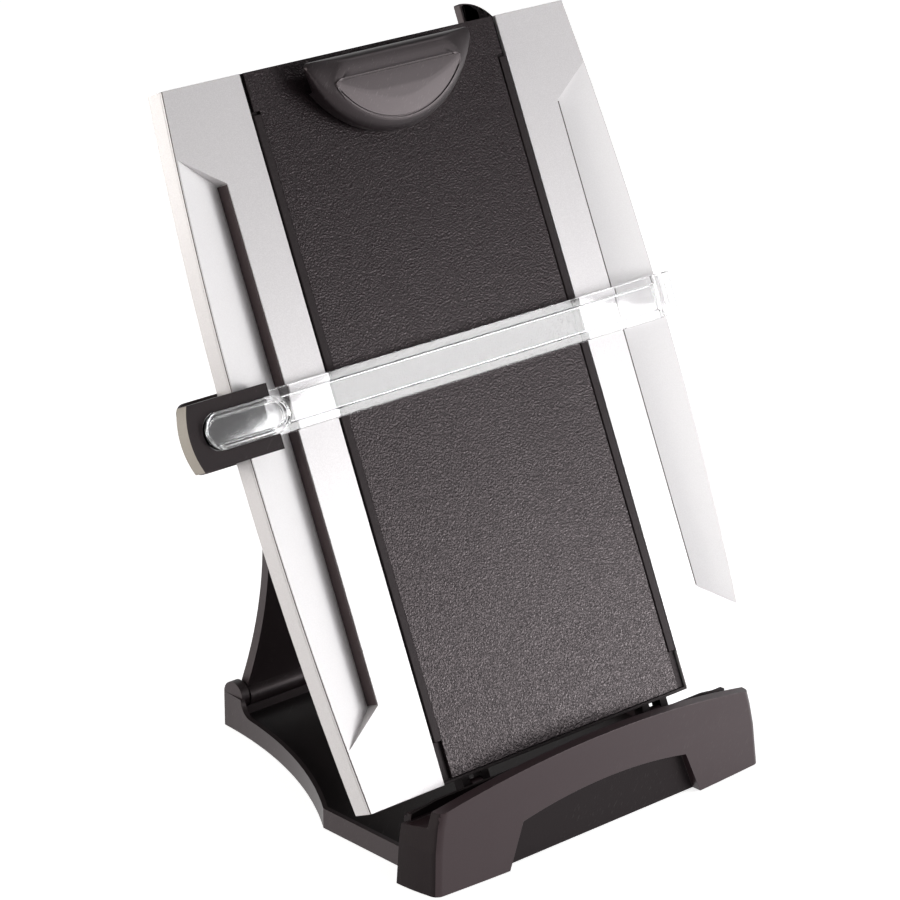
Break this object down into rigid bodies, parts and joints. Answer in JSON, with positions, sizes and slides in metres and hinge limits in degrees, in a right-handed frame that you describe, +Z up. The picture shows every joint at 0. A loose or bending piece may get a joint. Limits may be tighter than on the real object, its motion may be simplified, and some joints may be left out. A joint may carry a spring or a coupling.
{
  "type": "copy holder with line guide",
  "caption": "Leaning desk copy holder: panel with sunken-facet wings, half-moon paper clip, clear sliding line guide, trough base, rear strut and slide-out memo board.",
  "frame": {"origin": "on the ground under the middle of the panel's bottom edge, at the centre of the grip strip's underside", "axes": "+Z up out of the grip strip, +X to the reader's right along the trough, -Y towards the reader"},
  "size_m": [0.281, 0.1954, 0.3245],
  "materials": {
    "silver_plastic": "satin metallic silver",
    "black_plastic": "satin, fine grain",
    "textured_black": "pebbled leather grain",
    "clear_plastic": "clear, polished",
    "black_rubber": "matt",
    "white_nylon": "smooth",
    "bright_steel": "ground"
  },
  "bodies": {
    "base": {"base_tray": "black_plastic", "front_moulding": "black_plastic", "grip_strip": "black_rubber", "corner_feet": "black_rubber", "base_screws": "bright_steel", "hinge_pins": "bright_steel", "strut_pivot_rod": "bright_steel"},
    "panel": {"rear_shell": "silver_plastic", "left_wing": "silver_plastic", "right_wing": "silver_plastic", "left_step_liner": "black_plastic", "right_step_liner": "black_plastic", "left_rail": "black_plastic", "right_rail": "black_plastic", "left_strut_track": "black_plastic", "right_strut_track": "black_plastic", "centre_frame": "black_plastic", "backing_board": "textured_black", "clip_bracket": "black_plastic", "clip_pin": "bright_steel", "clip_spring": "bright_steel", "memo_track_lower": "black_plastic", "memo_track_upper": "black_plastic", "rear_cover": "black_plastic", "wing_screws": "bright_steel", "cover_screws": "bright_steel"},
    "clip": {"clip_lever": "black_plastic", "clip_jaw_pad": "black_rubber"},
    "guide": {"guide_bar": "clear_plastic", "guide_grip": "clear_plastic", "guide_end_hook": "clear_plastic", "guide_housing": "black_plastic", "guide_clamp": "black_plastic", "guide_screws": "bright_steel", "guide_pad": "black_rubber"},
    "memo": {"memo_board": "textured_black", "memo_carrier": "black_plastic", "memo_tab": "black_plastic", "memo_glides": "white_nylon"},
    "strut": {"strut_leg": "black_plastic", "strut_cross_rod": "bright_steel", "strut_bushes": "white_nylon"}
  },
  "joints": [
    {"name": "panel_tilt", "type": "hinge", "parent": "base", "child": "panel", "pos_m": [0, 0.002, 0.0293], "axis": [1, 0, 0], "range_deg": [-5, 6]},
    {"name": "strut_swing", "type": "hinge", "parent": "base", "child": "strut", "pos_m": [0, 0.1635, 0.0165], "axis": [1, 0, 0], "range_deg": [-6.6, 7.9]},
    {"name": "guide_slide", "type": "slide", "parent": "panel", "child": "guide", "axis": [0, 0.4099, 0.9121], "range_m": [-0.145, 0.086]},
    {"name": "clip_rock", "type": "hinge", "parent": "panel", "child": "clip", "pos_m": [0, 0.11509, 0.30671], "axis": [-1, 0, 0], "range_deg": [0, 20], "stiffness_Nm_per_rad": 0.2, "springref_deg": -12.03},
    {"name": "memo_slide", "type": "slide", "parent": "panel", "child": "memo", "axis": [1, 0, 0], "range_m": [0, 0.11]}
  ],
  "couplings": [
    {"joint": "strut_swing", "follows": "panel_tilt", "ratio": 1.2922}
  ]
}
